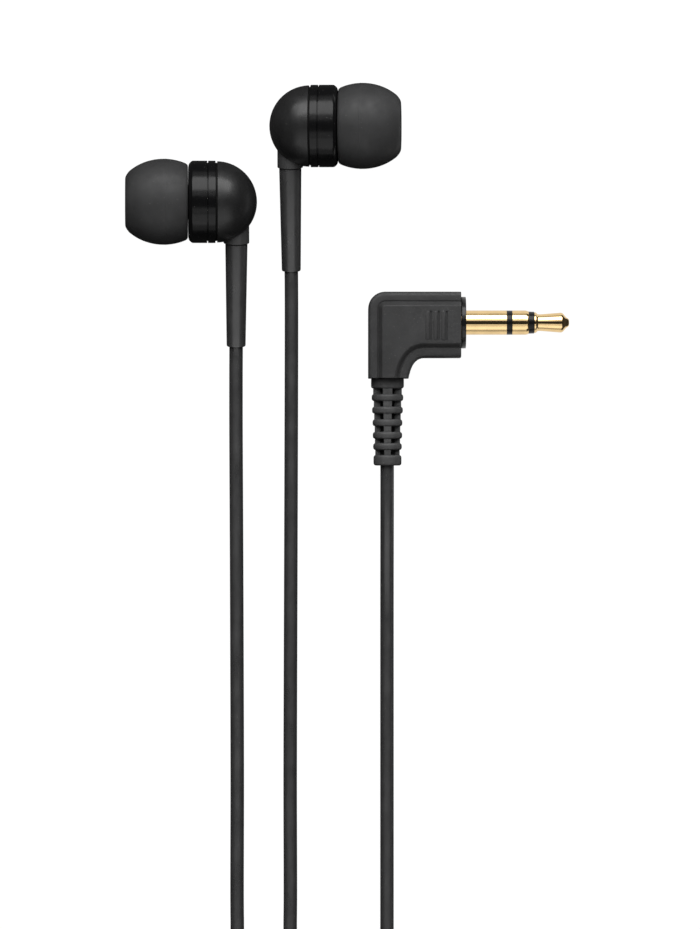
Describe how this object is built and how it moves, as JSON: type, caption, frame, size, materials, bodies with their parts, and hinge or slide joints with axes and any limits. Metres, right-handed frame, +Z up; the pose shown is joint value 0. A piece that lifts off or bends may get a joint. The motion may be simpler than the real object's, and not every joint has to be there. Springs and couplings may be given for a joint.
{
  "type": "wired earphones",
  "caption": "Wired in-ear earphones with domed shells, soft removable tips, tapered strain reliefs, a Y-split cord and an angled stereo plug.",
  "frame": {"origin": "on the table, under the middle of the box round the two earphones", "axes": "+X the way the plug's contacts and the right tip point, +Y from the cords towards the earphones, +Z up from the table"},
  "size_m": [0.081, 0.1898, 0.0122],
  "materials": {
    "matte_shell": "fine satin black moulded shell",
    "gloss_shell": "glossy black",
    "silicone": "dull dark grey silicone",
    "soft_sleeve": "satin black soft moulding",
    "cord_jacket": "satin black cord jacket",
    "plug_mould": "matte charcoal moulding",
    "plug_sleeve_rubber": "satin charcoal soft moulding",
    "plug_collar": "glossy black disc",
    "inner_plastic": "plain inner moulding",
    "insulator": "black insulating ring",
    "gold": "polished gold plating",
    "steel": "stamped steel",
    "mesh_steel": "fine woven steel mesh",
    "magnet": "nickel-plated magnet",
    "copper": "enamelled copper winding",
    "film": "thin translucent film",
    "felt": "white acoustic felt",
    "board": "green circuit board"
  },
  "bodies": {
    "earphones": {"left_rear_shell": "matte_shell", "left_trim_ring": "gloss_shell", "left_front_shell": "gloss_shell", "left_nozzle_mesh": "mesh_steel", "left_driver_frame": "inner_plastic", "left_driver_yoke": "steel", "left_driver_magnet": "magnet", "left_driver_top_plate": "steel", "left_driver_grille": "steel", "left_damping_disc": "felt", "left_terminal_board": "board", "left_strain_relief": "soft_sleeve", "left_cord_knot": "cord_jacket", "right_rear_shell": "matte_shell", "right_trim_ring": "gloss_shell", "right_front_shell": "gloss_shell", "right_nozzle_mesh": "mesh_steel", "right_driver_frame": "inner_plastic", "right_driver_yoke": "steel", "right_driver_magnet": "magnet", "right_driver_top_plate": "steel", "right_driver_grille": "steel", "right_damping_disc": "felt", "right_terminal_board": "board", "right_strain_relief": "soft_sleeve", "right_cord_knot": "cord_jacket", "plug_body": "plug_mould", "plug_core": "inner_plastic", "plug_collar": "plug_collar", "plug_sleeve": "gold", "plug_rear_insulator": "insulator", "plug_ring": "gold", "plug_front_insulator": "insulator", "plug_tip": "gold", "plug_strain_relief": "plug_sleeve_rubber", "plug_cord_end": "cord_jacket", "cord_splitter": "soft_sleeve", "left_cord_upper": "cord_jacket", "left_cord_lower": "cord_jacket", "right_cord_upper": "cord_jacket", "right_cord_lower": "cord_jacket", "main_cord_lower": "cord_jacket", "main_cord_upper": "cord_jacket", "ear_cord_coil": "cord_jacket", "main_cord_coil": "cord_jacket"},
    "left_tip": {"left_ear_tip": "silicone"},
    "right_tip": {"right_ear_tip": "silicone"},
    "left_cone": {"left_diaphragm": "film", "left_voice_coil": "copper"},
    "right_cone": {"right_diaphragm": "film", "right_voice_coil": "copper"}
  },
  "joints": [
    {"name": "left_tip_pull", "type": "slide", "parent": "earphones", "child": "left_tip", "axis": [-0.9994, 0, 0.0354], "range_m": [0, 0.006]},
    {"name": "right_tip_pull", "type": "slide", "parent": "earphones", "child": "right_tip", "axis": [0.9994, 0, 0.0354], "range_m": [0, 0.006]},
    {"name": "left_cone_travel", "type": "slide", "parent": "earphones", "child": "left_cone", "axis": [-0.9994, 0, 0.0354], "range_m": [-0.00015, 0.00015], "stiffness_N_per_m": 10},
    {"name": "right_cone_travel", "type": "slide", "parent": "earphones", "child": "right_cone", "axis": [0.9994, 0, 0.0354], "range_m": [-0.00015, 0.00015], "stiffness_N_per_m": 10}
  ]
}
